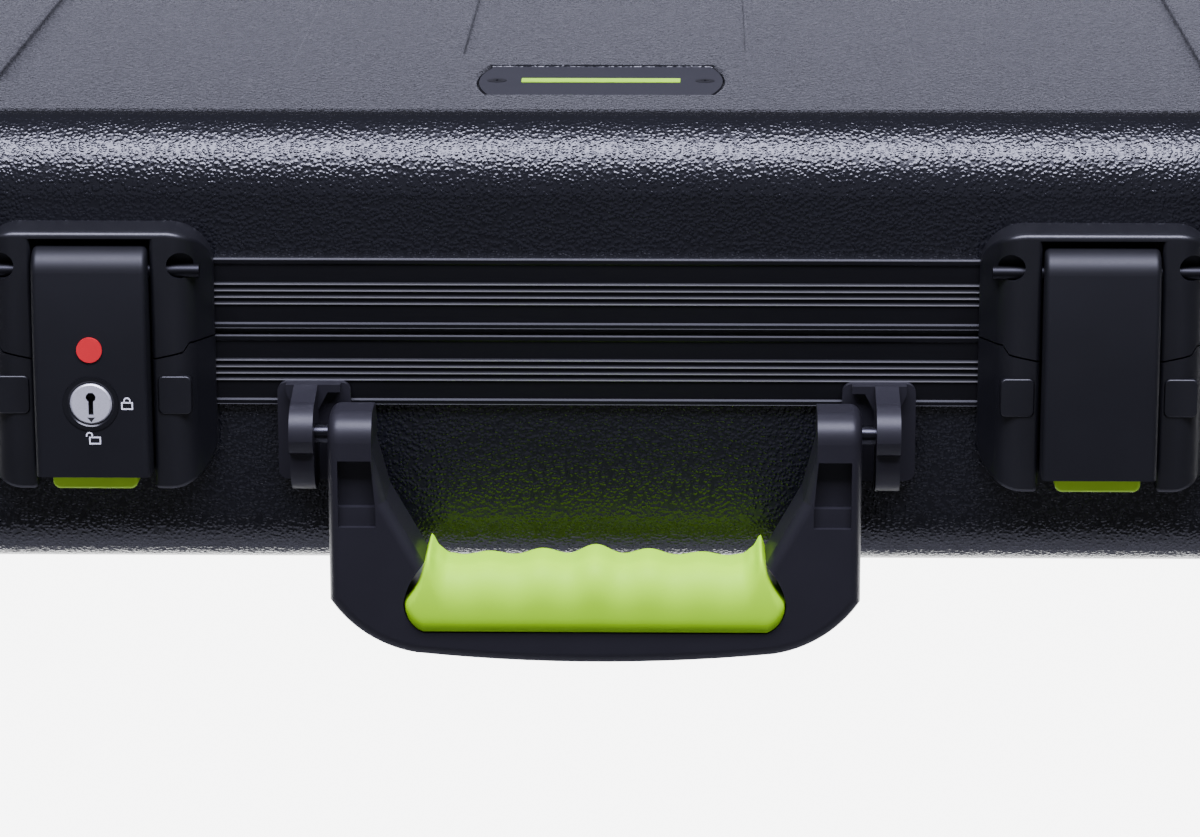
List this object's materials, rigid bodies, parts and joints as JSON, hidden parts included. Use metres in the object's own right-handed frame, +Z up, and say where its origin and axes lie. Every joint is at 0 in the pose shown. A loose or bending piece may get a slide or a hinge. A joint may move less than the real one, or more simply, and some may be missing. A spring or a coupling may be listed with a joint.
{
  "type": "microphone case",
  "caption": "Hard-shell microphone case with a hinged lid, ribbed metal rim, draw latches, key lock, drop handle and a foam tray for microphones.",
  "frame": {"origin": "centre of the underside, on the face of the pads that the case rests on", "axes": "+X to the right as seen from the front, along the case's width; +Y to the back, from the handle to the hinges; +Z up"},
  "size_m": [0.4532, 0.3789, 0.1381],
  "materials": {
    "shell": "leather-like grain, near-black",
    "valance": "black anodised extrusion with bright ribs",
    "seal": "matt",
    "foam": "dark open-cell foam",
    "housing": "smooth satin black",
    "lever": "satin black paint",
    "steel": "bright",
    "lock": "satin chrome",
    "mark": "plain red",
    "green": "lime green",
    "grip": "soft lime green, satin",
    "handle": "satin black",
    "plate": "black, satin",
    "screw": "black"
  },
  "bodies": {
    "base": {"base_shell": "shell", "base_valance": "valance", "rim_seal": "seal", "base_foam_pad": "foam", "foam_tray": "foam", "latch_lower_housing_left": "housing", "latch_lower_housing_right": "housing", "housing_plugs_left": "housing", "housing_plugs_right": "housing", "latch_keeper_left": "steel", "latch_keeper_right": "steel", "handle_bracket_left": "handle", "handle_bracket_right": "handle", "handle_pin_left": "steel", "handle_pin_right": "steel", "base_hinge_leaf_left": "steel", "base_hinge_leaf_right": "steel", "base_hinge_rivets": "steel", "hinge_pin_left": "steel", "hinge_pin_right": "steel"},
    "lid": {"lid_shell": "shell", "lid_valance": "valance", "lid_foam": "foam", "name_plate": "plate", "plate_screws": "screw", "plate_stripe": "green", "latch_upper_housing_left": "housing", "latch_upper_housing_right": "housing", "latch_pin_left": "steel", "latch_pin_right": "steel", "lid_hinge_leaf_left": "steel", "lid_hinge_leaf_right": "steel", "lid_hinge_rivets": "steel"},
    "lever_left": {"latch_lever_left": "lever", "latch_hook_left": "steel", "lock_ring": "lever", "latch_mark": "mark"},
    "lever_right": {"latch_lever_right": "lever", "latch_hook_right": "steel"},
    "lock": {"lock_cylinder": "lock", "lock_cam": "steel"},
    "tab_left": {"release_tab_left": "green"},
    "tab_right": {"release_tab_right": "green"},
    "handle": {"handle_frame": "handle", "handle_grip": "grip"}
  },
  "joints": [
    {"name": "lid_hinge", "type": "hinge", "parent": "base", "child": "lid", "pos_m": [0, 0.17635, 0.0675], "axis": [-1, 0, 0], "range_deg": [0, 100]},
    {"name": "latch_left_swing", "type": "hinge", "parent": "lid", "child": "lever_left", "pos_m": [-0.1303, -0.1812, 0.0862], "axis": [-1, 0, 0], "range_deg": [0, 100]},
    {"name": "latch_right_swing", "type": "hinge", "parent": "lid", "child": "lever_right", "pos_m": [0.1303, -0.1812, 0.0862], "axis": [-1, 0, 0], "range_deg": [0, 100]},
    {"name": "lock_turn", "type": "hinge", "parent": "lever_left", "child": "lock", "pos_m": [-0.1303, -0.1902, 0.0528], "axis": [0, -1, 0], "range_deg": [0, 90]},
    {"name": "release_left_slide", "type": "slide", "parent": "base", "child": "tab_left", "axis": [0, 0, 1], "range_m": [0, 0.0025], "stiffness_N_per_m": 300, "springref_m": -0.003},
    {"name": "release_right_slide", "type": "slide", "parent": "base", "child": "tab_right", "axis": [0, 0, 1], "range_m": [0, 0.0025], "stiffness_N_per_m": 300, "springref_m": -0.003},
    {"name": "handle_swing", "type": "hinge", "parent": "base", "child": "handle", "pos_m": [0, -0.1862, 0.0441], "axis": [-1, 0, 0], "range_deg": [0, 170]}
  ]
}
